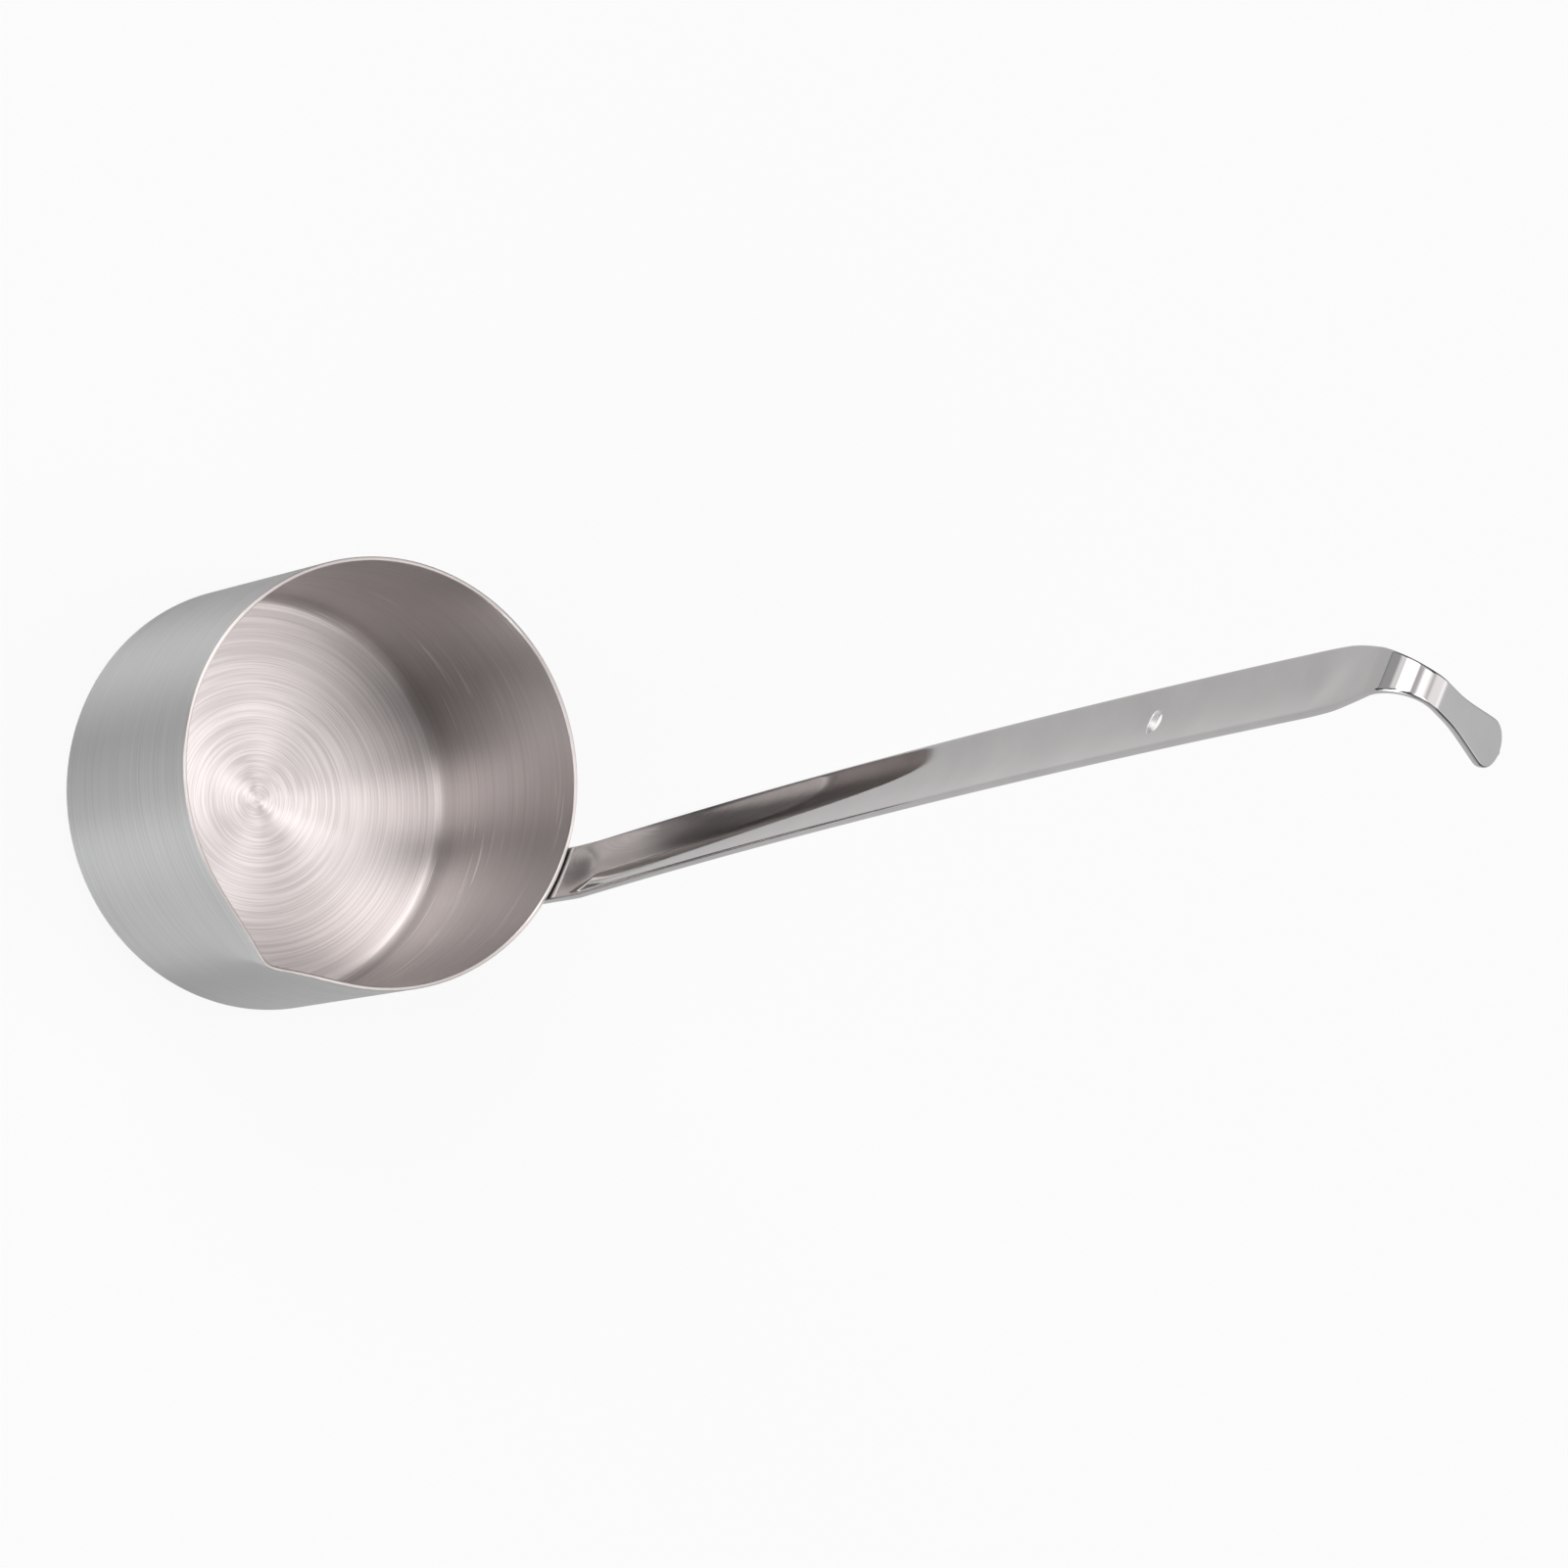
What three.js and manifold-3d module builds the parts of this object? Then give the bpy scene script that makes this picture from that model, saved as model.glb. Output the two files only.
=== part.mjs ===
// A one-handed wine ladle in stainless steel: a deep round cup with a small pouring lip, and an
// upright strip handle spot-welded to the outside of its wall, ending in a hanging hook.
// Millimetres. +Z is the cup's axis, the origin is the middle of its underside, the handle is at +X.
import * as THREE from "three";
import { mergeVertices } from "three/addons/utils/BufferGeometryUtils.js";
import Module from "manifold-3d";

const wasm = await Module();
wasm.setup();

// Cup
const CUP_RADIUS = 40; // outside
const CUP_HEIGHT = 56;
const CUP_WALL = 0.8; // sheet thickness, wall and base alike
const BASE_EDGE_RADIUS = 3.7; // outside round between base and wall
const RIM_EASE = 0.25; // round on both edges of the rim

// Pouring lip, pinched out of the wall
const LIP_AZIMUTH = -97.5; // degrees from the handle
const LIP_REACH = 3.2; // how far its tip stands out of the round rim
const LIP_HALF_WIDTH = 20.5; // along the rim, from the tip to where the rim is round again
const LIP_TIP_ROUND = 1.5; // bluntness of the tip
const LIP_DEPTH = 22; // how far down the wall it fades out
const LIP_TAPER = 3.5; // power of its fall along the rim
const LIP_FADE = 1.7; // power of its fall down the wall

// Strip handle
const STRIP_WIDTH = 11.1; // across its inner face
const STRIP_THICKNESS = 1.3;
const STRIP_EDGE_EASE = 0.3;
const CHANNEL_DEPTH = 1.8; // hollow of the strip's inner face, across its width
const CHANNEL_SINK = 1.35; // how much of the hollow is sunk behind the strip's line
const CHANNEL_FADE = 14; // length over which the hollow runs out, at the seat and at the neck
const OVERALL_HEIGHT = 368; // crest of the hook above the base
const ROOT_LEAN = 4.9; // degrees inwards, just above the rim
const TOP_LEAN = 1; // degrees inwards, just below the hook
const ROOT_BEND_RADIUS = 60;

// Welded seat on the cup's wall
const TAB_LENGTH = 32; // below the rim
const TAB_CORNER = 4;
const SEAT_GAP = 0.4; // between wall and strip
const WELD_COUNT = 3;
const WELD_DIAMETER = 4.6;
const WELD_FIRST = 8; // below the rim
const WELD_PITCH = 9;
const WELD_CLEARANCE = 0.06; // to the wall and to the strip
const ELECTRODE_DIAMETER = 5.4; // mark pressed into the strip's back over each weld
const ELECTRODE_DEPTH = 0.15;

// Hook
const HOOK_RADIUS = 7; // outer face of the bend
const HOOK_DROP = 26.5; // degrees that its tongue slopes down
const TONGUE_LENGTH = 19.3; // from the bend to the tip
const NECK_BELOW_BEND = 11; // where the strip begins to narrow
const NECK_LENGTH = 23;
const WAIST_WIDTH = 5.3;
const TIP_WIDTH = 8.6;
const FLARE_LENGTH = 16; // from the waist to the tip
const TIP_ROUND = TIP_WIDTH / 2;
const TIP_FLAT = 0.05; // what the round end leaves off at its very tip

// Hanging hole
const HOLE_DIAMETER = 4;
const HOLE_BELOW_CREST = 77;

// Facets
const CUP_SEGMENTS = 96;
const CUP_CROWDING = 0.75; // share by which segments are closer together at the lip
const LIP_ROWS = 7; // down the wall
const LIP_ROW_CROWDING = 1.5; // power that draws the rows towards the rim
const ROUND_STEPS = 5;
const EASE_STEPS = 2;
const STRIP_DIVISIONS = 10; // across its width
const LONG_STEP = 18; // along the strip where it is nearly straight
const SHORT_STEP = 1.4; // along the strip where it bends or narrows
const HOLE_SEGMENTS = 24;
const MARK_STEPS = 3;
const CUT_MARGIN = 2; // how far a cutter runs past what it cuts

const { degToRad, radToDeg, smoothstep } = THREE.MathUtils;

// A closed three.js geometry as a solid, and back again.
function solidOf(geometry) {
  const bare = geometry.clone();
  bare.deleteAttribute("normal");
  bare.deleteAttribute("uv");
  const merged = mergeVertices(bare, 1e-4);
  const vertProperties = new Float32Array(merged.attributes.position.array);
  const triVerts = new Uint32Array(merged.index.array);
  return new wasm.Manifold(new wasm.Mesh({ numProp: 3, vertProperties, triVerts }));
}

function geometryOf(solid) {
  const { numVert, numProp, vertProperties, triVerts } = solid.getMesh();
  const positions = new Float32Array(numVert * 3);
  for (let i = 0; i < numVert; i++) {
    positions.set(vertProperties.subarray(i * numProp, i * numProp + 3), i * 3);
  }
  const geometry = new THREE.BufferGeometry();
  geometry.setAttribute("position", new THREE.BufferAttribute(positions, 3));
  geometry.setIndex(new THREE.BufferAttribute(triVerts, 1));
  geometry.computeVertexNormals();
  return geometry;
}

// A revolved profile of (radius, height) points, standing along +Z.
function revolve(profile, segments) {
  return new THREE.LatheGeometry(profile, segments).rotateX(Math.PI / 2);
}

// Moves each vertex of a geometry by a function of its place.
function reshape(geometry, move) {
  const positions = geometry.attributes.position;
  const point = new THREE.Vector3();
  for (let i = 0; i < positions.count; i++) {
    move(point.fromBufferAttribute(positions, i));
    positions.setXYZ(i, point.x, point.y, point.z);
  }
  geometry.computeVertexNormals();
  return geometry;
}

function arc(centreR, centreZ, radius, fromDegrees, toDegrees, steps) {
  return Array.from({ length: steps + 1 }, (_, i) => {
    const angle = degToRad(fromDegrees + ((toDegrees - fromDegrees) * i) / steps);
    return new THREE.Vector2(centreR + radius * Math.cos(angle), centreZ + radius * Math.sin(angle));
  });
}

// How far the lip pushes the wall out, at a distance along the rim from its tip and below the rim.
function lipReach(along, below) {
  const blunt = Math.hypot(along, LIP_TIP_ROUND) - LIP_TIP_ROUND;
  const across = Math.max(0, 1 - blunt / LIP_HALF_WIDTH) ** LIP_TAPER;
  const down = Math.max(0, 1 - below / LIP_DEPTH) ** LIP_FADE;
  return LIP_REACH * across * down;
}

// Drawn cup: one sheet thickness all round, with the lip pinched out near the rim.
function cupGeometry() {
  const inside = CUP_RADIUS - CUP_WALL;
  const floorRound = BASE_EDGE_RADIUS - CUP_WALL;
  const lipRows = Array.from({ length: LIP_ROWS }, (_, i) => (1 - i / LIP_ROWS) ** LIP_ROW_CROWDING);
  const wallRow = (radius) => (share) => new THREE.Vector2(radius, CUP_HEIGHT - share * LIP_DEPTH);
  const rimZ = CUP_HEIGHT - RIM_EASE;
  const profile = [
    new THREE.Vector2(0, 0),
    ...arc(CUP_RADIUS - BASE_EDGE_RADIUS, BASE_EDGE_RADIUS, BASE_EDGE_RADIUS, -90, 0, ROUND_STEPS),
    ...lipRows.map(wallRow(CUP_RADIUS)),
    ...arc(CUP_RADIUS - RIM_EASE, rimZ, RIM_EASE, 0, 90, EASE_STEPS),
    ...arc(inside + RIM_EASE, rimZ, RIM_EASE, 90, 180, EASE_STEPS),
    ...lipRows.toReversed().map(wallRow(inside)),
    ...arc(inside - floorRound, BASE_EDGE_RADIUS, floorRound, 0, -90, ROUND_STEPS),
    new THREE.Vector2(0, CUP_WALL),
  ];
  const lipTurn = degToRad(LIP_AZIMUTH);
  return reshape(revolve(profile, CUP_SEGMENTS), (p) => {
    const radius = Math.hypot(p.x, p.y);
    const azimuth = Math.atan2(p.y, p.x) - lipTurn;
    const even = Math.atan2(Math.sin(azimuth), Math.cos(azimuth));
    const turn = even - CUP_CROWDING * Math.sin(even);
    const reached = radius > 0 ? radius + lipReach(turn * CUP_RADIUS, CUP_HEIGHT - p.z) : 0;
    p.x = reached * Math.cos(lipTurn + turn);
    p.y = reached * Math.sin(lipTurn + turn);
  });
}

// The strip's inner face follows runs of constant bend in the XZ plane. A heading is an angle from
// +Z towards +X.
const seatX = CUP_RADIUS + SEAT_GAP;
const rootLean = degToRad(ROOT_LEAN);
const topLean = degToRad(TOP_LEAN);
const bendStartZ = OVERALL_HEIGHT - HOOK_RADIUS * (1 + Math.sin(topLean));
const bowRise = bendStartZ - CUP_HEIGHT - ROOT_BEND_RADIUS * Math.sin(rootLean);
const bowRadius = bowRise / (Math.sin(rootLean) - Math.sin(topLean));
const hookTurn = degToRad(90 + HOOK_DROP) + topLean;

function joinRuns(x, z, parts) {
  let run = { x, z, heading: 0, start: 0 };
  return parts.map(({ length, turn }) => {
    const made = { ...run, length, bend: turn / length };
    const end = pointOn(made, length);
    run = { x: end.x, z: end.z, heading: end.heading, start: made.start + length };
    return made;
  });
}

function pointOn(run, distance) {
  const heading = run.heading + run.bend * distance;
  if (run.bend === 0) {
    const x = run.x + distance * Math.sin(heading);
    return { x, z: run.z + distance * Math.cos(heading), heading };
  }
  const x = run.x + (Math.cos(run.heading) - Math.cos(heading)) / run.bend;
  return { x, z: run.z + (Math.sin(heading) - Math.sin(run.heading)) / run.bend, heading };
}

const runs = joinRuns(seatX, CUP_HEIGHT - TAB_LENGTH, [
  { length: TAB_LENGTH, turn: 0 },
  { length: ROOT_BEND_RADIUS * rootLean, turn: -rootLean },
  { length: bowRadius * (rootLean - topLean), turn: rootLean - topLean },
  { length: HOOK_RADIUS * hookTurn, turn: hookTurn },
  { length: TONGUE_LENGTH, turn: 0 },
]);
const [tabRun, rootRun, bowRun, hookRun, tongueRun] = runs;
const stripEnd = tongueRun.start + tongueRun.length;
const neckStart = hookRun.start - NECK_BELOW_BEND;
const flareStart = stripEnd - FLARE_LENGTH;
const tipStart = stripEnd - TIP_ROUND;

function onStrip(s) {
  const run = runs.findLast((r) => s >= r.start) ?? tabRun;
  return pointOn(run, s - run.start);
}

function halfWidth(s) {
  const neck = smoothstep(s, neckStart, neckStart + NECK_LENGTH);
  const flare = smoothstep(s, flareStart, stripEnd);
  const narrowed = STRIP_WIDTH + (WAIST_WIDTH - STRIP_WIDTH) * neck;
  const half = (narrowed + (TIP_WIDTH - WAIST_WIDTH) * flare) / 2;
  const tabShort = Math.max(0, TAB_CORNER - s);
  const tabCut = TAB_CORNER - Math.sqrt(TAB_CORNER ** 2 - tabShort ** 2);
  const tipPast = Math.max(0, s - tipStart);
  const tipCut = TIP_ROUND - Math.sqrt(TIP_ROUND ** 2 - tipPast ** 2);
  return half - tabCut - tipCut;
}

// Press of the strip, as the depth of its middle behind its line and the rise of its edges over its
// middle. It fits the wall on the seat, is a channel on the upright and is flat on the hook.
function press(s) {
  const onWall = (STRIP_WIDTH / 2) ** 2 / (2 * seatX);
  const above = smoothstep(s, rootRun.start, rootRun.start + CHANNEL_FADE);
  const below = 1 - smoothstep(s, neckStart - CHANNEL_FADE / 2, neckStart + CHANNEL_FADE / 2);
  const formed = above * below;
  return { sink: CHANNEL_SINK * formed, rise: onWall * (1 - above) + CHANNEL_DEPTH * formed };
}

// One cross-section as (across, depth) points: inner face, one edge, back face, other edge. The sheet
// keeps its thickness square to the pressed face.
function section(s) {
  const { sink, rise } = press(s);
  const bow = rise / (STRIP_WIDTH / 2) ** 2;
  const inSheet = (y, through) => {
    const square = new THREE.Vector2(2 * bow * y, 1).setLength(through);
    return square.add(new THREE.Vector2(y, sink - bow * y ** 2));
  };
  const half = halfWidth(s);
  const flat = half - STRIP_EDGE_EASE;
  const across = Array.from(
    { length: STRIP_DIVISIONS + 1 },
    (_, i) => flat * ((2 * i) / STRIP_DIVISIONS - 1),
  );
  return [
    ...across.map((y) => inSheet(y, 0)),
    inSheet(half, STRIP_EDGE_EASE),
    inSheet(half, STRIP_THICKNESS - STRIP_EDGE_EASE),
    ...across.toReversed().map((y) => inSheet(y, STRIP_THICKNESS)),
    inSheet(-half, STRIP_THICKNESS - STRIP_EDGE_EASE),
    inSheet(-half, STRIP_EDGE_EASE),
  ];
}

// Distances along the strip where a cross-section stands, closer together where it bends or narrows.
function stations() {
  const span = (from, to, spacing) => {
    const steps = Math.ceil((to - from) / spacing);
    return Array.from({ length: steps }, (_, i) => from + ((to - from) * i) / steps);
  };
  const quarter = (i) => Math.sin(((i / ROUND_STEPS) * Math.PI) / 2);
  const ends = Array.from({ length: ROUND_STEPS }, (_, i) => i);
  const tabRounds = ends.map((i) => TAB_CORNER * (1 - quarter(ROUND_STEPS - i)));
  const tipRounds = ends.map((i) => tipStart + (TIP_ROUND - TIP_FLAT) * quarter(i + 1));
  return [
    ...tabRounds,
    ...span(TAB_CORNER, rootRun.start, LONG_STEP),
    ...span(rootRun.start, rootRun.start + CHANNEL_FADE, SHORT_STEP),
    ...span(rootRun.start + CHANNEL_FADE, neckStart - CHANNEL_FADE / 2, LONG_STEP),
    ...span(neckStart - CHANNEL_FADE / 2, hookRun.start, SHORT_STEP),
    ...span(hookRun.start, tongueRun.start, SHORT_STEP),
    ...span(tongueRun.start, tipStart, SHORT_STEP),
    tipStart,
    ...tipRounds,
  ];
}

function stripGeometry() {
  const rings = stations().map((s) => {
    const { x, z, heading } = onStrip(s);
    return section(s).map(
      (p) => new THREE.Vector3(x + p.y * Math.cos(heading), p.x, z - p.y * Math.sin(heading)),
    );
  });
  const count = rings[0].length;
  const index = [];
  for (let r = 0; r + 1 < rings.length; r++) {
    for (let i = 0; i < count; i++) {
      const a = r * count + i;
      const b = r * count + ((i + 1) % count);
      index.push(a, a + count, b, b, a + count, b + count);
    }
  }
  const cap = THREE.ShapeUtils.triangulateShape(section(stripEnd / 2), []);
  const last = (rings.length - 1) * count;
  for (const [a, b, c] of cap) {
    index.push(a, b, c, last + a, last + c, last + b);
  }
  const geometry = new THREE.BufferGeometry().setFromPoints(rings.flat());
  geometry.setIndex(index);
  return geometry;
}

const weldHeights = Array.from({ length: WELD_COUNT }, (_, i) => CUP_HEIGHT - WELD_FIRST - i * WELD_PITCH);

// A disc standing on the wall at a given distance from the cup's axis, bent to the wall's round.
function onWall(profile, distance, height, segments) {
  const disc = revolve(profile, segments).rotateY(Math.PI / 2);
  return reshape(disc, (p) => {
    p.x += distance + Math.sqrt(seatX ** 2 - p.y ** 2) - seatX;
    p.z += height;
  });
}

function weldGeometry(height) {
  const thickness = SEAT_GAP - 2 * WELD_CLEARANCE;
  const radius = WELD_DIAMETER / 2;
  const profile = [
    new THREE.Vector2(0, 0),
    new THREE.Vector2(radius / 2, 0),
    new THREE.Vector2(radius, 0),
    new THREE.Vector2(radius, thickness),
    new THREE.Vector2(radius / 2, thickness),
    new THREE.Vector2(0, thickness),
  ];
  return onWall(profile, CUP_RADIUS + WELD_CLEARANCE, height, HOLE_SEGMENTS);
}

function electrodeMark(height) {
  const radius = ELECTRODE_DIAMETER / 2;
  const dome = (radius ** 2 + ELECTRODE_DEPTH ** 2) / (2 * ELECTRODE_DEPTH);
  const opening = radToDeg(Math.asin(radius / dome));
  const profile = [
    ...arc(0, dome - ELECTRODE_DEPTH, dome, -90, opening - 90, MARK_STEPS),
    new THREE.Vector2(radius, CUT_MARGIN),
    new THREE.Vector2(0, CUT_MARGIN),
  ];
  return onWall(profile, seatX + STRIP_THICKNESS, height, HOLE_SEGMENTS);
}

// Strip with its hanging hole, and the marks of the welding electrodes on the back of its seat.
function handleGeometry() {
  const holeZ = OVERALL_HEIGHT - HOLE_BELOW_CREST;
  const drill = new THREE.CylinderGeometry(
    HOLE_DIAMETER / 2,
    HOLE_DIAMETER / 2,
    2 * (seatX + CUT_MARGIN),
    HOLE_SEGMENTS,
  );
  drill.rotateZ(Math.PI / 2).translate(seatX, 0, holeZ);
  let handle = solidOf(stripGeometry()).subtract(solidOf(drill));
  for (const height of weldHeights) {
    handle = handle.subtract(solidOf(electrodeMark(height)));
  }
  return geometryOf(handle);
}

const satinSteel = new THREE.MeshStandardMaterial({ color: 0xb4b0ad, metalness: 1, roughness: 0.38 });
const polishedSteel = new THREE.MeshStandardMaterial({ color: 0xc8c7c6, metalness: 1, roughness: 0.1 });
const weldSteel = new THREE.MeshStandardMaterial({ color: 0x8f8b88, metalness: 1, roughness: 0.55 });

function named(name, geometry, material) {
  const mesh = new THREE.Mesh(geometry, material);
  mesh.name = name;
  return mesh;
}

const ladle = new THREE.Group();
ladle.add(named("cup", cupGeometry(), satinSteel));
ladle.add(named("handle", handleGeometry(), polishedSteel));
weldHeights.forEach((height, i) => {
  ladle.add(named(`weld_nugget_${i + 1}`, weldGeometry(height), weldSteel));
});

export default ladle;
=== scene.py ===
"""Looks for a stainless wine ladle: a satin cup, a polished strip handle and soft studio light."""
import math

import bpy
import numpy as np
from mathutils import Matrix, Vector


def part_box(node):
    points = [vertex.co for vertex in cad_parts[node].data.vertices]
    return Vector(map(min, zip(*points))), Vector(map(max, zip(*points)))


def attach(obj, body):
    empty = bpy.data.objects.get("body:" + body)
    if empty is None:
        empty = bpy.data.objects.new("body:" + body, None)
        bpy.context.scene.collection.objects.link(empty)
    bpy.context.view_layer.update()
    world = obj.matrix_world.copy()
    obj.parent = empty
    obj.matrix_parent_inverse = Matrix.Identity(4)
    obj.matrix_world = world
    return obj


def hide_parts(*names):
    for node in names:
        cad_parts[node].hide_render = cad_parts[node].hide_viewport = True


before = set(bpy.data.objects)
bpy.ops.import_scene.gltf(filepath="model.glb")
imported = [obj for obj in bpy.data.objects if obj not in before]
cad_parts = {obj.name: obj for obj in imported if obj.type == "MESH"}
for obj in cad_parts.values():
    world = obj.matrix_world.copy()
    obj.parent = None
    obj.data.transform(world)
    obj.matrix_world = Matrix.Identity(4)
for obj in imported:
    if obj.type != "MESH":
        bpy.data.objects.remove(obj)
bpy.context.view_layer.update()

MM = 0.001
cup_low, cup_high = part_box("cup")
strip_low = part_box("handle")[0]
weld_boxes = [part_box(f"weld_nugget_{i}") for i in (1, 2, 3)]

# Cup
CUP_RADIUS = -cup_low.x
CUP_HEIGHT = cup_high.z
CUP_WALL = 0.8 * MM
BASE_EDGE_RADIUS = 3.7 * MM
RIM_EASE = 0.25 * MM

# Pouring lip
LIP_AZIMUTH = math.radians(-97.5)
LIP_REACH = 3.2 * MM
LIP_HALF_WIDTH = 20.5 * MM
LIP_TIP_ROUND = 1.5 * MM
LIP_DEPTH = 22 * MM
LIP_TAPER = 3.5
LIP_FADE = 1.7

# Strip handle
STRIP_WIDTH = 11.1 * MM
STRIP_THICKNESS = 1.3 * MM
STRIP_EDGE_ROUND = 0.4 * MM
CHANNEL_DEPTH = 1.8 * MM
CHANNEL_SINK = 1.35 * MM
CHANNEL_ROUND = 5 * MM
CHANNEL_FADE = 14 * MM
OVERALL_HEIGHT = 368 * MM
ROOT_LEAN = math.radians(4.9)
TOP_LEAN = math.radians(1)
ROOT_BEND_RADIUS = 60 * MM
SEAT_GAP = 0.4 * MM
SEAT_PRESS = 0.2 * MM  # by which the welded seat is drawn towards the wall
TAB_CORNER = 4 * MM
ELECTRODE_RADIUS = 2.7 * MM
ELECTRODE_DEPTH = 0.15 * MM
ELECTRODE_FORM = 0.7  # below 1, so that a mark has a flat middle
HOOK_RADIUS = 7 * MM
HOOK_DROP = math.radians(26.5)
TONGUE_LENGTH = 19.3 * MM
NECK_BELOW_BEND = 11 * MM
NECK_LENGTH = 23 * MM
WAIST_WIDTH = 5.3 * MM
TIP_WIDTH = 8.6 * MM
FLARE_LENGTH = 16 * MM
HOLE_RADIUS = 2 * MM
HOLE_BELOW_CREST = 77 * MM
HOLE_HEIGHT = OVERALL_HEIGHT - HOLE_BELOW_CREST
HOLE_EDGE_ROUND = 0.2 * MM

# Camera, fitted to the photograph
CAMERA_AZIMUTH = math.radians(-143)
CAMERA_FROM_VERTICAL = math.radians(28.63)
CAMERA_ROLL = math.radians(10.64)
CAMERA_DISTANCE = 39.41 * CUP_RADIUS
CAMERA_SLIDE = Vector((1.838 * CUP_RADIUS, -0.049 * CUP_RADIUS))
CAMERA_SENSOR = 36  # millimetres, as is the lens
CAMERA_LENS = 197.5


# Mesh helpers

def smooth_step(value, low, high):
    t = np.clip((value - low) / (high - low), 0, 1)
    return t * t * (3 - 2 * t)


def new_object(name, vertices, faces):
    mesh = bpy.data.meshes.new(name)
    mesh.from_pydata([tuple(v) for v in vertices], [], [tuple(f) for f in faces])
    mesh.validate()
    mesh.polygons.foreach_set("use_smooth", [True] * len(mesh.polygons))
    mesh.update()
    made = bpy.data.objects.new(name, mesh)
    bpy.context.scene.collection.objects.link(made)
    return made


def arc(centre_r, centre_z, radius, start, end, steps):
    angles = np.radians(np.linspace(start, end, steps + 1))
    return np.column_stack([
        centre_r + radius * np.cos(angles),
        centre_z + radius * np.sin(angles),
    ])


# Cup

CUP_SEGMENTS = 480
CUP_CROWDING = 0.75  # how much closer the segments stand at the lip
FLAT_ROWS = 12
FLAT_SHARES = (0.02, 0.98)  # of the flat's radius, at its first and last row
EDGE_STEPS = 12
RIM_STEPS = 5
WALL_ROWS = 6  # below the lip
WALL_START = BASE_EDGE_RADIUS + 1 * MM
LIP_ROWS = 24
LIP_CROWDING = 1.3  # power by which the rows crowd towards the rim
LEAST_ROW = 0.1 * MM


def lip_reach(along, below):
    blunt = np.hypot(along, LIP_TIP_ROUND) - LIP_TIP_ROUND
    across = np.maximum(0, 1 - blunt / LIP_HALF_WIDTH) ** LIP_TAPER
    down = np.maximum(0, 1 - below / LIP_DEPTH) ** LIP_FADE
    return LIP_REACH * across * down


def cup_profile():
    """Radius and height of the shell's section, from the underside over the rim to the floor."""
    inside = CUP_RADIUS - CUP_WALL
    floor_round = BASE_EDGE_RADIUS - CUP_WALL
    flat = CUP_RADIUS - BASE_EDGE_RADIUS
    rim_z = CUP_HEIGHT - RIM_EASE
    rows = np.concatenate([
        np.linspace(WALL_START, CUP_HEIGHT - LIP_DEPTH, WALL_ROWS),
        CUP_HEIGHT - LIP_DEPTH * np.linspace(1, 0, LIP_ROWS)[1:-1] ** LIP_CROWDING,
    ])
    rows = rows[rows < rim_z - LEAST_ROW]
    flats = np.linspace(*FLAT_SHARES, FLAT_ROWS) * flat
    return np.vstack([
        np.column_stack([flats, np.zeros_like(flats)]),
        arc(flat, BASE_EDGE_RADIUS, BASE_EDGE_RADIUS, -90, 0, EDGE_STEPS),
        np.column_stack([np.full_like(rows, CUP_RADIUS), rows]),
        arc(CUP_RADIUS - RIM_EASE, rim_z, RIM_EASE, 0, 90, RIM_STEPS),
        arc(inside + RIM_EASE, rim_z, RIM_EASE, 90, 180, RIM_STEPS),
        np.column_stack([np.full_like(rows, inside), rows[::-1]]),
        arc(flat, BASE_EDGE_RADIUS, floor_round, 0, -90, EDGE_STEPS),
        np.column_stack([flats[::-1], np.full_like(flats, CUP_WALL)]),
    ])


def make_cup():
    profile = cup_profile()
    even = np.linspace(-math.pi, math.pi, CUP_SEGMENTS, endpoint=False)
    turn = even - CUP_CROWDING * np.sin(even)
    reach = lip_reach(turn[:, None] * CUP_RADIUS, CUP_HEIGHT - profile[None, :, 1])
    radius = profile[None, :, 0] + reach
    azimuth = (LIP_AZIMUTH + turn)[:, None]
    points = np.stack([
        radius * np.cos(azimuth),
        radius * np.sin(azimuth),
        np.broadcast_to(profile[None, :, 1], radius.shape),
    ], axis=-1).reshape(-1, 3)
    count = len(profile)
    faces = []
    for i in range(CUP_SEGMENTS):
        a = i * count
        b = (i + 1) % CUP_SEGMENTS * count
        faces += [(a + j, b + j, b + j + 1, a + j + 1) for j in range(count - 1)]
    faces.append([i * count for i in reversed(range(CUP_SEGMENTS))])
    faces.append([i * count + count - 1 for i in range(CUP_SEGMENTS)])
    return new_object("cup_shell", points, faces)


# Strip handle. Its inner face follows runs of constant bend in the XZ plane.

SEAT_X = CUP_RADIUS + SEAT_GAP
TAB_LENGTH = CUP_HEIGHT - strip_low.z
BEND_START_Z = OVERALL_HEIGHT - HOOK_RADIUS * (1 + math.sin(TOP_LEAN))
BOW_RISE = BEND_START_Z - CUP_HEIGHT - ROOT_BEND_RADIUS * math.sin(ROOT_LEAN)
BOW_RADIUS = BOW_RISE / (math.sin(ROOT_LEAN) - math.sin(TOP_LEAN))
HOOK_TURN = math.pi / 2 + HOOK_DROP + TOP_LEAN
RUNS = [  # length and turn of each, from the foot of the seat
    (TAB_LENGTH, 0),
    (ROOT_BEND_RADIUS * ROOT_LEAN, -ROOT_LEAN),
    (BOW_RADIUS * (ROOT_LEAN - TOP_LEAN), ROOT_LEAN - TOP_LEAN),
    (HOOK_RADIUS * HOOK_TURN, HOOK_TURN),
    (TONGUE_LENGTH, 0),
]
RUN_STARTS = np.concatenate([[0], np.cumsum([length for length, _ in RUNS])])
ROOT_START, BOW_START, HOOK_START, TONGUE_START, STRIP_END = RUN_STARTS[1:]
NECK_START = HOOK_START - NECK_BELOW_BEND
TIP_ROUND = TIP_WIDTH / 2
TIP_START = STRIP_END - TIP_ROUND


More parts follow.
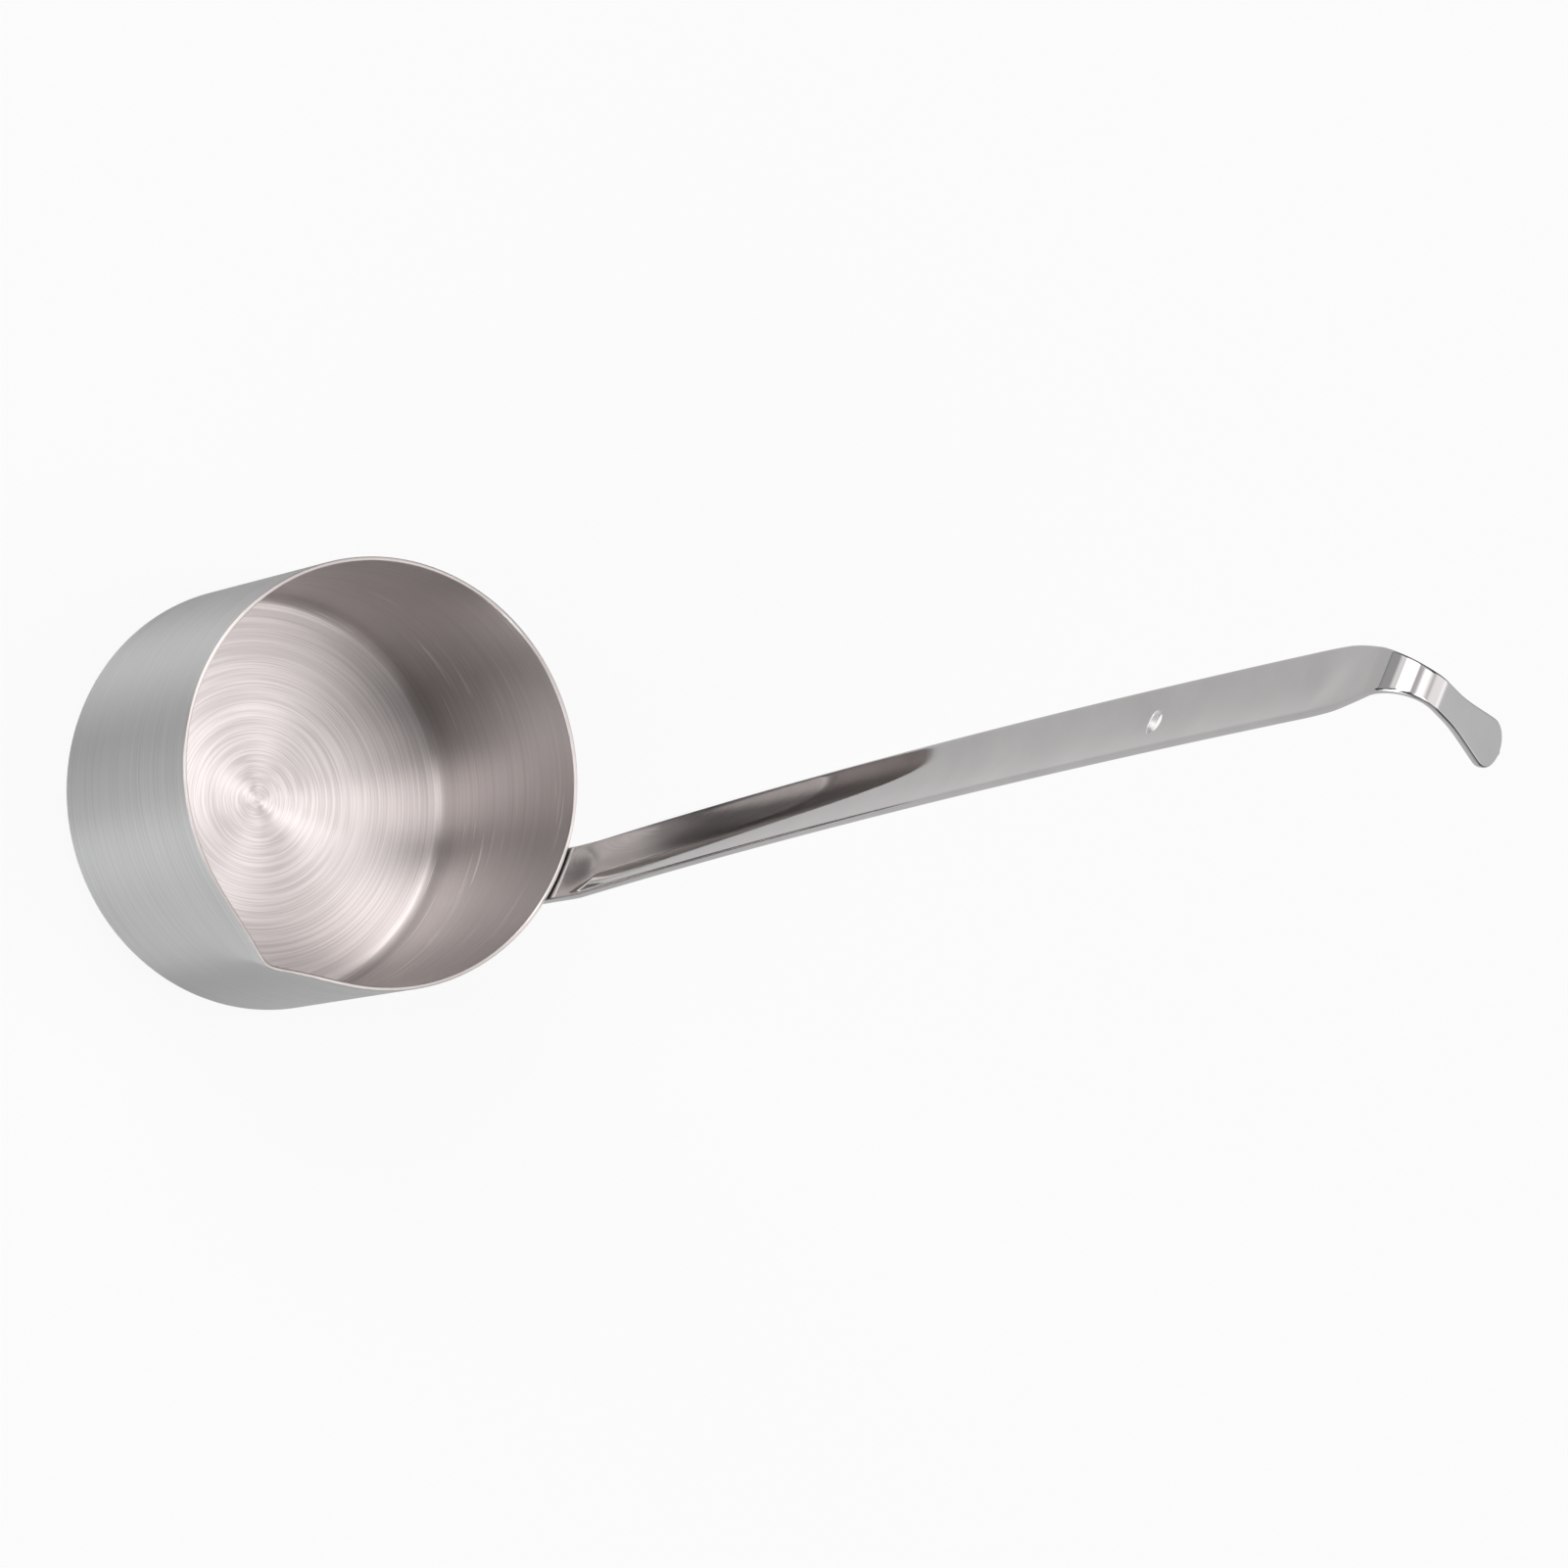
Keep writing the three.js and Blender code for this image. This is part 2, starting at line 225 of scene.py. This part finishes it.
def along_run(x, z, heading, bend, distance):
    end = heading + bend * distance
    if bend == 0:
        return x + distance * np.sin(end), z + distance * np.cos(end), end + 0 * distance
    across = (np.cos(heading) - np.cos(end)) / bend
    return x + across, z + (np.sin(end) - np.sin(heading)) / bend, end


def on_strip(s):
    """Place and heading of the strip's inner face, at distances from the foot of its seat."""
    x, z, heading = np.zeros_like(s), np.zeros_like(s), np.zeros_like(s)
    at = (SEAT_X, CUP_HEIGHT - TAB_LENGTH, 0.0)
    for (length, turn), start in zip(RUNS, RUN_STARTS):
        here = s >= start
        found = along_run(*at, turn / length, s - start)
        x, z, heading = (np.where(here, new, old) for new, old in zip(found, (x, z, heading)))
        at = along_run(*at, turn / length, np.float64(length))
    return x, z, heading


def half_width(s):
    neck = smooth_step(s, NECK_START, NECK_START + NECK_LENGTH)
    flare = smooth_step(s, STRIP_END - FLARE_LENGTH, STRIP_END)
    narrowed = STRIP_WIDTH + (WAIST_WIDTH - STRIP_WIDTH) * neck
    half = (narrowed + (TIP_WIDTH - WAIST_WIDTH) * flare) / 2
    tab_short = np.maximum(0, TAB_CORNER - s)
    tab_cut = TAB_CORNER - np.sqrt(TAB_CORNER**2 - tab_short**2)
    tip_past = np.clip(s - TIP_START, 0, TIP_ROUND)
    tip_cut = TIP_ROUND - np.sqrt(TIP_ROUND**2 - tip_past**2)
    return half - tab_cut - tip_cut


def pressed(s, y, through):
    """Width and depth of points in the pressed sheet, one thickness square to its face."""
    on_wall = (STRIP_WIDTH / 2) ** 2 / (2 * SEAT_X)
    above = smooth_step(s, ROOT_START, ROOT_START + CHANNEL_FADE)
    below = 1 - smooth_step(s, NECK_START - CHANNEL_FADE / 2, NECK_START + CHANNEL_FADE / 2)
    formed = above * below
    bow = (on_wall * (1 - above) + CHANNEL_DEPTH * formed) / (STRIP_WIDTH / 2) ** 2
    reach = np.hypot(y / CHANNEL_ROUND, 1)
    slope = 2 * bow * y / reach
    square = through / np.hypot(slope, 1)
    seated = CHANNEL_SINK * formed - SEAT_PRESS * (1 - above)
    sunk = seated - 2 * bow * CHANNEL_ROUND**2 * (reach - 1)
    return y + slope * square, sunk + square


def electrode_marks(s, y):
    """Depth of the marks that the welding electrodes leave on the back of the seat."""
    deep = np.zeros_like(s)
    for low, high in weld_boxes:
        along = s - ((low.z + high.z) / 2 - (CUP_HEIGHT - TAB_LENGTH))
        within = np.maximum(0, 1 - (along**2 + y**2) / ELECTRODE_RADIUS**2)
        deep += ELECTRODE_DEPTH * within**ELECTRODE_FORM
    return deep


def bend_strip(s, y, through):
    """Points of the flat blank, by length, width and depth in the sheet, on the bent strip."""
    x, z, heading = on_strip(s)
    through = through - np.where(through >= STRIP_THICKNESS, electrode_marks(s, y), 0)
    wide, deep = pressed(s, y, through)
    return np.stack([x + deep * np.cos(heading), wide, z - deep * np.sin(heading)], axis=-1)


HOLE_TRIES = 4000


def hole_place():
    """Distance along the strip at which the hanging hole is drilled."""
    reach = np.linspace(BOW_START, HOOK_START, HOLE_TRIES)
    return float(np.interp(HOLE_HEIGHT, on_strip(reach)[1], reach))


ACROSS = 24  # divisions across each face
ROUND_STEPS = 5  # in each rounded edge
ROUND_ANGLES = np.linspace(0, math.pi / 2, ROUND_STEPS + 1)
BACK = ACROSS + 1 + 2 * ROUND_STEPS  # where a cross-section's back face starts
SECTION = 2 * BACK  # points in a cross-section
EASED_SHARE = 0.8  # of the half width, at most, in a rounded edge
LEAST_HALF = 0.02 * MM

# The hole lies in a stretch of its own, whose faces run in rings from its border to the hole.
HOLE_S = hole_place()
PATCH_HALF = STRIP_WIDTH / 2 - STRIP_EDGE_ROUND
PATCH_START = HOLE_S - PATCH_HALF
PATCH_END = HOLE_S + PATCH_HALF
PATCH_STEPS = ACROSS
PATCH_RINGS = 7

END_STATIONS = 24  # over each round end
TAB_SHARE = 0.999  # of the round corners, where the first cross-section stands
TIP_SHARE = 0.9995  # of the round tip, where the last one stands
STRETCHES = [  # end of each stretch between the round ends, and its number of steps
    (ROOT_START, 63),
    (ROOT_START + CHANNEL_FADE, 29),
    (PATCH_START, 89),
    (PATCH_END, PATCH_STEPS),
    (NECK_START - CHANNEL_FADE, 13),
    (HOOK_START, 35),
    (TONGUE_START, 47),
    (TIP_START, 23),
]


def stations():
    """Distances along the strip where a cross-section stands."""
    quarter = np.sin(np.linspace(0, math.pi / 2, END_STATIONS))
    places = [TAB_CORNER * (1 - quarter[:0:-1] * TAB_SHARE)]
    start = TAB_CORNER
    for end, steps in STRETCHES:
        places.append(np.linspace(start, end, steps, endpoint=False))
        start = end
    places.append(TIP_START + TIP_ROUND * quarter * TIP_SHARE)
    return np.concatenate(places)


def blank_sections(s):
    """Points of each cross-section in the flat blank, as length, width and depth.

    A cross-section runs over the inner face, a rounded edge, the back and the other edge.
    """
    half = half_width(s)
    slope_s, slope_y = np.gradient(s), np.gradient(half)
    run = np.hypot(slope_s, slope_y)
    ease = np.minimum(STRIP_EDGE_ROUND, EASED_SHARE * half)
    ease_s, ease_y = ease * (-slope_y / run), ease * (slope_s / run)
    face_s = (s - ease_s)[:, None]
    face_half = np.maximum(half - ease_y, LEAST_HALF)[:, None]
    edge_s = face_s + ease_s[:, None] * np.sin(ROUND_ANGLES)
    edge_y = face_half + ease_y[:, None] * np.sin(ROUND_ANGLES)
    edge_d = ease[:, None] * (1 - np.cos(ROUND_ANGLES))
    flat_s = np.repeat(face_s, ACROSS + 1, axis=1)
    flat_y = face_half * np.linspace(-1, 1, ACROSS + 1)
    flat_d = np.zeros_like(flat_y)
    down_s = np.hstack([edge_s[:, 1:], edge_s[:, :0:-1]])
    down_y = np.hstack([edge_y[:, 1:], edge_y[:, :0:-1]])
    down_d = np.hstack([edge_d[:, 1:], STRIP_THICKNESS - edge_d[:, :0:-1]])
    return np.stack([
        np.hstack([flat_s, down_s, flat_s, down_s[:, ::-1]]),
        np.hstack([flat_y, down_y, flat_y[:, ::-1], -down_y[:, ::-1]]),
        np.hstack([flat_d, down_d, flat_d + STRIP_THICKNESS, down_d[:, ::-1]]),
    ], axis=-1)


def strip_faces(count, first):
    """Faces between the cross-sections and over both ends, without the hole's stretch."""
    faces = []
    for r in range(count - 1):
        for i in range(SECTION):
            on_face = i % BACK < ACROSS
            if on_face and first <= r < first + PATCH_STEPS:
                continue
            a, b = r * SECTION + i, r * SECTION + (i + 1) % SECTION
            faces.append((a, a + SECTION, b + SECTION, b))
    faces.append(range(SECTION))
    faces.append([(count - 1) * SECTION + i for i in reversed(range(SECTION))])
    return faces


def patch_border(first, columns):
    """Points round the hole's stretch of a face that has these columns in a cross-section."""
    last = first + PATCH_STEPS
    low = [first * SECTION + column for column in columns[:-1]]
    up = [(first + i) * SECTION + columns[-1] for i in range(PATCH_STEPS)]
    high = [last * SECTION + column for column in columns[:0:-1]]
    down = [(last - i) * SECTION + columns[0] for i in range(PATCH_STEPS)]
    return low + up + high + down


def hole_rings(border_s, border_y, depth, inwards):
    """Rings of points from the border of the hole's stretch, round the edge and into the hole."""
    angle = np.arctan2(border_y, border_s)
    rounded = HOLE_RADIUS + HOLE_EDGE_ROUND
    for t in np.linspace(0, 1, PATCH_RINGS + 1)[1:]:
        ring_s = border_s * (1 - t) + rounded * np.cos(angle) * t
        ring_y = border_y * (1 - t) + rounded * np.sin(angle) * t
        yield bend_strip(HOLE_S + ring_s, ring_y, np.full_like(angle, depth))
    for a in ROUND_ANGLES[1:]:
        radius = rounded - HOLE_EDGE_ROUND * math.sin(a)
        sunk = depth + inwards * HOLE_EDGE_ROUND * (1 - math.cos(a))
        ring_s, ring_y = radius * np.cos(angle), radius * np.sin(angle)
        yield bend_strip(HOLE_S + ring_s, ring_y, np.full_like(angle, sunk))


def ring_faces(outer, inner):
    """Faces that join two rings of as many points."""
    next_inner, next_outer = inner[1:] + inner[:1], outer[1:] + outer[:1]
    return list(zip(outer, inner, next_inner, next_outer))


def make_handle():
    s = stations()
    blank = blank_sections(s).reshape(-1, 3)
    first = int(np.argmin(np.abs(s - PATCH_START)))
    points = [bend_strip(*blank.T)]
    made = len(blank)
    faces = strip_faces(len(s), first)
    inner_columns = list(range(ACROSS + 1))
    back_columns = [BACK + column for column in reversed(inner_columns)]
    wall = []
    for columns, depth, inwards in ((inner_columns, 0, 1), (back_columns, STRIP_THICKNESS, -1)):
        outer = patch_border(first, columns)
        border = blank[outer]
        for ring in hole_rings(border[:, 0] - HOLE_S, border[:, 1], depth, inwards):
            inner = list(range(made, made + len(ring)))
            made += len(ring)
            points.append(ring)
            faces += [face[::inwards] for face in ring_faces(outer, inner)]
            outer = inner
        wall.append(outer)
    faces += ring_faces(*wall)
    return new_object("strip_handle", np.vstack(points), faces)


# Materials

class Nodes:
    """Short forms for building one material's node tree."""

    def __init__(self, name, world=False):
        self.material = bpy.data.worlds.new(name) if world else bpy.data.materials.new(name)
        self.material.use_nodes = True
        self.tree = self.material.node_tree
        self.shader = self.tree.nodes["Background" if world else "Principled BSDF"]

    def add(self, kind, **settings):
        node = self.tree.nodes.new(kind)
        for key, value in settings.items():
            setattr(node, key, value)
        return node

    def link(self, source, target):
        self.tree.links.new(source, target)

    def put(self, socket, value):
        if isinstance(value, bpy.types.NodeSocket):
            self.link(value, socket)
        else:
            socket.default_value = value

    def shade(self, **sockets):
        """Set or link the shader's sockets, whose names have _ for a space here."""
        for name, value in sockets.items():
            self.put(self.shader.inputs[name.replace("_", " ")], value)

    def math(self, operation, a, b=0.0, c=0.0, clamp=False):
        node = self.add("ShaderNodeMath", operation=operation, use_clamp=clamp)
        for socket, value in zip(node.inputs, (a, b, c)):
            self.put(socket, value)
        return node.outputs[0]

    def length(self, a, b):
        """Length of the hypotenuse over two sides."""
        return self.math("SQRT", self.math("MULTIPLY_ADD", a, a, self.math("MULTIPLY", b, b)))

    def vector(self, x, y, z):
        node = self.add("ShaderNodeCombineXYZ")
        for socket, value in zip(node.inputs, (x, y, z)):
            self.put(socket, value)
        return node.outputs[0]

    def parts(self, vector):
        node = self.add("ShaderNodeSeparateXYZ")
        self.link(vector, node.inputs[0])
        return node.outputs

    def place(self):
        return self.add("ShaderNodeTexCoord").outputs["Object"]

    def cross(self, a, b):
        node = self.add("ShaderNodeVectorMath", operation="CROSS_PRODUCT")
        self.put(node.inputs[0], a)
        self.put(node.inputs[1], b)
        return node.outputs[0]

    def noise(self, vector, scale, detail, roughness):
        node = self.add("ShaderNodeTexNoise")
        self.link(vector, node.inputs["Vector"])
        node.inputs["Scale"].default_value = scale
        node.inputs["Detail"].default_value = detail
        node.inputs["Roughness"].default_value = roughness
        return node.outputs["Fac"]

    def spread(self, value, low, high, to_low=0.0, to_high=1.0):
        node = self.add("ShaderNodeMapRange")
        for socket, given in zip(node.inputs, (value, low, high, to_low, to_high)):
            self.put(socket, given)
        return node.outputs[0]

    def smooth(self, value, low, high):
        node = self.add("ShaderNodeMapRange", interpolation_type="SMOOTHSTEP")
        for socket, given in zip(node.inputs, (value, low, high, 0.0, 1.0)):
            self.put(socket, given)
        return node.outputs[0]

    def blend(self, factor, a, b):
        node = self.add("ShaderNodeMix", data_type="RGBA")
        self.put(node.inputs["Factor"], factor)
        self.put(node.inputs["A"], a)
        self.put(node.inputs["B"], b)
        return node.outputs["Result"]

    def bump(self, height, strength, distance):
        node = self.add("ShaderNodeBump")
        node.inputs["Strength"].default_value = strength
        node.inputs["Distance"].default_value = distance
        self.link(height, node.inputs["Height"])
        return node.outputs["Normal"]


NOISE_RANGE = (0.3, 0.7)  # in which nearly all of a noise lies

# Satin steel, with a dark and a light colour for each part of the cup
OUTER_COLOURS = (0.46, 0.468, 0.47, 1), (0.56, 0.568, 0.57, 1)
INNER_COLOURS = (0.5, 0.471, 0.464, 1), (0.62, 0.586, 0.578, 1)
# The floor's colours are lighter than the walls' of the same sheet: painted light, for the
# overhead light that the floor mirrors; their rings are the turned finish.
FLOOR_COLOURS_WITH_PAINTED_LIGHT = (0.75, 0.716, 0.714, 1), (0.89, 0.852, 0.85, 1)
HAIR_COLOUR = (0.8, 0.775, 0.765, 1)
FINE_STREAKS = (0.9, 3000, 1)  # reach round the axis, rows to a metre, detail
BROAD_STREAKS = (1.1, 700, 2)
HAIR_STREAKS = (2.6, 1900, 0)
STREAK_ROUGHNESS = 0.65
CLOUD_NOISE = (45, 2, 0.5)  # scale, detail, roughness
FINE_SHARE = 0.7
BROAD_SHARE = 0.15
CLOUD_SHARE = 0.15
RING_RANGE = (0.38, 0.62)
SCRATCHED_RANGE = (0.48, 0.6)
HAIR_RANGE = (0.69, 0.77)
AXIS_GUARD = 0.1 * MM  # least radius that is divided by
INSIDE_RANGE = (0.5, -0.5)  # of how much more a face looks outwards than up
FLOOR_TOP = CUP_WALL + 0.5 * MM  # where the floor's colour has ended
CORNER_RANGE = (6 * MM, 3.5 * MM)  # heights between which the wall's gloss ends
SATIN_ROUGHNESS = (0.44, 0.38)
INNER_GLOSS = -0.09  # added to the roughness inside
CORNER_DULL = 0.05  # and given back in the corner and on the floor
BRUSH_BUMP = 0.25
BRUSH_DEPTH = 0.05 * MM
BRUSH_ANISOTROPY = 0.97
BRUSH_QUARTER_TURN = 0.25

# Polished steel
POLISHED_COLOURS = (0.46, 0.459, 0.458, 1), (0.51, 0.509, 0.508, 1)
POLISHED_ROUGHNESS = (0.025, 0.055)
SMEAR_NOISE = (60, 3, 0.6)
# Painted highlight: the hole's wall takes a near-white colour for the overhead light that it
# mirrors.
HOLE_HIGHLIGHT_COLOUR = (0.88, 0.88, 0.88, 1)
PUNCHED_DULL = 0.5  # added to the roughness in the hole
PUNCHED_AND_HIGHLIT_RANGE = (HOLE_RADIUS + HOLE_EDGE_ROUND, HOLE_RADIUS + HOLE_EDGE_ROUND / 4)

# Weld steel
WELD_COLOURS = (0.30, 0.27, 0.25, 1), (0.55, 0.53, 0.51, 1)
WELD_ROUGHNESS = (0.45, 0.7)
WELD_NOISE = (900, 4, 0.6)


def satin_steel():
    """Sheet brushed round the cup's axis, with turned rings on the floor in lighter colours that
    are painted light, and warmer inside.
    """
    n = Nodes("satin_steel")
    place = n.place()
    x, y, z = n.parts(place)
    radius = n.length(x, y)
    safe = n.math("MAXIMUM", radius, AXIS_GUARD)
    cos, sin = n.math("DIVIDE", x, safe), n.math("DIVIDE", y, safe)
    along = n.math("ADD", radius, z)

    def streaks(reach, rows, detail):
        """Noise drawn out round the axis, with so many rows to a metre across the brushing."""
        round_x, round_y = n.math("MULTIPLY", cos, reach), n.math("MULTIPLY", sin, reach)
        drawn = n.vector(round_x, round_y, n.math("MULTIPLY", along, rows))
        return n.noise(drawn, 1.0, detail, STREAK_ROUGHNESS)

    face_x, face_y, face_z = n.parts(n.add("ShaderNodeNewGeometry").outputs["Normal"])
    outwards = n.math("MULTIPLY_ADD", face_x, cos, n.math("MULTIPLY", face_y, sin))
    inside = n.smooth(n.math("SUBTRACT", outwards, face_z), *INSIDE_RANGE)
    floor = n.smooth(z, FLOOR_TOP, CUP_WALL)
    corner = n.smooth(z, *CORNER_RANGE)
    wall = n.math("SUBTRACT", inside, floor, clamp=True)

    fine = streaks(*FINE_STREAKS)
    broad = streaks(*BROAD_STREAKS)
    cloud = n.noise(place, *CLOUD_NOISE)
    mixed = n.math("MULTIPLY_ADD", broad, BROAD_SHARE, n.math("MULTIPLY", cloud, CLOUD_SHARE))
    mixed = n.math("MULTIPLY_ADD", fine, FINE_SHARE, mixed)
    brushed = n.spread(mixed, *NOISE_RANGE)
    rings = n.spread(fine, *RING_RANGE)
    scratched = n.math("MULTIPLY", n.smooth(cloud, *SCRATCHED_RANGE), wall)
    hairs = n.smooth(streaks(*HAIR_STREAKS), *HAIR_RANGE)

    sides = n.blend(inside, n.blend(brushed, *OUTER_COLOURS), n.blend(brushed, *INNER_COLOURS))
    # painted light: the floor takes lighter colours than the walls
    colour = n.blend(floor, sides, n.blend(rings, *FLOOR_COLOURS_WITH_PAINTED_LIGHT))
    dulled = n.math("MULTIPLY_ADD", corner, CORNER_DULL, INNER_GLOSS)
    gloss = n.math("MULTIPLY", inside, dulled)
    n.shade(
        Base_Color=n.blend(n.math("MULTIPLY", hairs, scratched), colour, HAIR_COLOUR),
        Roughness=n.math("ADD", n.spread(brushed, 0, 1, *SATIN_ROUGHNESS), gloss),
        Normal=n.bump(fine, BRUSH_BUMP, BRUSH_DEPTH),
        Tangent=n.cross((0, 0, 1), place),
        Metallic=1,
        Anisotropic=BRUSH_ANISOTROPY,
        Anisotropic_Rotation=BRUSH_QUARTER_TURN,
    )
    return n.material


def polished_steel():
    """Mirror-bright strip with faint smears, and a duller, punch-cut wall in its hole, whose
    near-white colour is a painted highlight.
    """
    n = Nodes("polished_steel")
    place = n.place()
    smear = n.noise(place, *SMEAR_NOISE)
    steel = n.blend(n.spread(smear, *NOISE_RANGE), *POLISHED_COLOURS)
    _, y, z = n.parts(place)
    from_hole = n.length(n.math("SUBTRACT", z, HOLE_HEIGHT), y)
    # Mask of the hole's wall: duller there, and a painted highlight in its colour.
    punched_and_highlit = n.smooth(from_hole, *PUNCHED_AND_HIGHLIT_RANGE)
    mirror = n.spread(smear, *NOISE_RANGE, *POLISHED_ROUGHNESS)
    n.shade(
        Base_Color=n.blend(punched_and_highlit, steel, HOLE_HIGHLIGHT_COLOUR),
        Roughness=n.math("MULTIPLY_ADD", punched_and_highlit, PUNCHED_DULL, mirror),
        Metallic=1,
    )
    return n.material


def weld_steel():
    """Dull, grainy metal of a spot weld."""
    n = Nodes("weld_steel")
    grain = n.noise(n.place(), *WELD_NOISE)
    n.shade(
        Base_Color=n.blend(grain, *WELD_COLOURS),
        Roughness=n.spread(grain, *NOISE_RANGE, *WELD_ROUGHNESS),
        Metallic=1,
    )
    return n.material


def dress(piece, material):
    piece.data.materials.clear()
    piece.data.materials.append(material)


# Stage: floor, light and camera

FLOOR_SIZE = 4.0
FLOOR_DROP = 0.2 * MM
FLOOR_GREY = (0.65, 0.65, 0.65, 1)
FLOOR_ROUGHNESS = 0.9
FLOOR_LIFT = 0.9  # share of plain white in what the camera sees of the floor
FLOOR_GLOW = 0.33  # and in what the metal sees of it
TENT_LIGHT = 0.08
WARM = (1.03, 0.99, 0.98)
PLAIN = (1, 1, 1)
PANELS = {  # azimuth, height, lit and faded half-angle in degrees, brightness and tint
    "over_lip": (-14, 62, 5, 13, 2.1, WARM),
    "overhead": (33, 77, 7, 22, 2.35, WARM),
    "right_high": (100, 49, 8, 26, 0.4, WARM),
    "right": (144, 48, 11, 21, 3.3, WARM),
    "right_low": (160, 10, 10, 28, 0.5, PLAIN),
    "right_fade": (152, 27, 2, 14, 0.9, WARM),
    "right_top": (107, 72, 4, 16, 0.65, WARM),
    "front": (-159, 45, 6, 15, 4.4, WARM),
    "front_low": (-132, 22, 8, 19, 4.5, PLAIN),
    "left_low": (-100, 4, 12, 28, 2.9, PLAIN),
    "left": (-74, 49, 8, 22, 0.5, WARM),
    "left_back": (-47, 18, 10, 28, 0.5, PLAIN),
    "back": (18, 38, 10, 30, 1.45, WARM),
    "back_low": (20, 4, 10, 24, 0.8, PLAIN),
}


def make_floor():
    half = FLOOR_SIZE / 2
    corners = [(-half, -half), (half, -half), (half, half), (-half, half)]
    floor = new_object("floor", [(x, y, -FLOOR_DROP) for x, y in corners], [(0, 1, 2, 3)])
    n = Nodes("white_floor")
    n.shade(Base_Color=FLOOR_GREY, Roughness=FLOOR_ROUGHNESS, Specular_IOR_Level=0)
    rays = n.add("ShaderNodeLightPath").outputs
    mirrored = n.math("MAXIMUM", rays["Is Glossy Ray"], rays["Is Transmission Ray"])
    seen = n.math("MULTIPLY", rays["Is Camera Ray"], FLOOR_LIFT)
    seen = n.math("MULTIPLY_ADD", mirrored, FLOOR_GLOW, seen)
    glow = n.add("ShaderNodeEmission")
    mix = n.add("ShaderNodeMixShader")
    n.link(seen, mix.inputs[0])
    n.link(n.shader.outputs[0], mix.inputs[1])
    n.link(glow.outputs[0], mix.inputs[2])
    n.link(mix.outputs[0], n.tree.nodes["Material Output"].inputs["Surface"])
    floor.data.materials.append(n.material)


def make_world():
    """A dim tent with soft panels in it, each a round patch of sky that fades at its edge."""
    n = Nodes("studio", world=True)
    sky = n.add("ShaderNodeTexCoord").outputs["Generated"]
    total = n.vector(TENT_LIGHT, TENT_LIGHT, TENT_LIGHT)
    for azimuth, height, lit, faded, brightness, tint in PANELS.values():
        a, h = math.radians(azimuth), math.radians(height)
        aim = (math.cos(a) * math.cos(h), math.sin(a) * math.cos(h), math.sin(h))
        near = n.add("ShaderNodeVectorMath", operation="DOT_PRODUCT")
        n.put(near.inputs[0], sky)
        n.put(near.inputs[1], aim)
        dark_edge, lit_edge = math.cos(math.radians(faded)), math.cos(math.radians(lit))
        share = n.smooth(near.outputs["Value"], dark_edge, lit_edge)
        glow = n.add("ShaderNodeVectorMath", operation="MULTIPLY_ADD")
        n.put(glow.inputs[0], n.vector(share, share, share))
        n.put(glow.inputs[1], [brightness * part for part in tint])
        n.put(glow.inputs[2], total)
        total = glow.outputs[0]
    n.shade(Color=total, Strength=1)
    bpy.context.scene.world = n.material


def make_camera():
    t, p = CAMERA_FROM_VERTICAL, CAMERA_AZIMUTH
    back = Vector((math.sin(t) * math.cos(p), math.sin(t) * math.sin(p), math.cos(t)))
    level = Vector((-math.cos(p), -math.sin(p), 0))
    rise = math.cos(t) * level + math.sin(t) * Vector((0, 0, 1))
    side = rise.cross(back)
    right = math.cos(CAMERA_ROLL) * rise + math.sin(CAMERA_ROLL) * side
    up = back.cross(right)
    data = bpy.data.cameras.new("camera")
    data.sensor_width = CAMERA_SENSOR
    data.lens = CAMERA_LENS
    camera = bpy.data.objects.new("camera", data)
    place = Vector((0, 0, CUP_HEIGHT)) + CAMERA_DISTANCE * back
    place += CAMERA_SLIDE.x * right + CAMERA_SLIDE.y * up
    turn = Matrix((right, up, back)).transposed().to_4x4()
    camera.matrix_world = Matrix.Translation(place) @ turn
    bpy.context.scene.collection.objects.link(camera)
    bpy.context.scene.camera = camera


make_camera()
make_floor()
make_world()

cup = make_cup()
dress(cup, satin_steel())
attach(cup, "root")
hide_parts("cup")

handle = make_handle()
dress(handle, polished_steel())
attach(handle, "root")
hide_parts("handle")

weld_finish = weld_steel()
for name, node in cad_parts.items():
    if name.startswith("weld_nugget"):
        node.data.materials.clear()
        node.data.materials.append(weld_finish)

bpy.context.scene.view_settings.view_transform = "Standard"
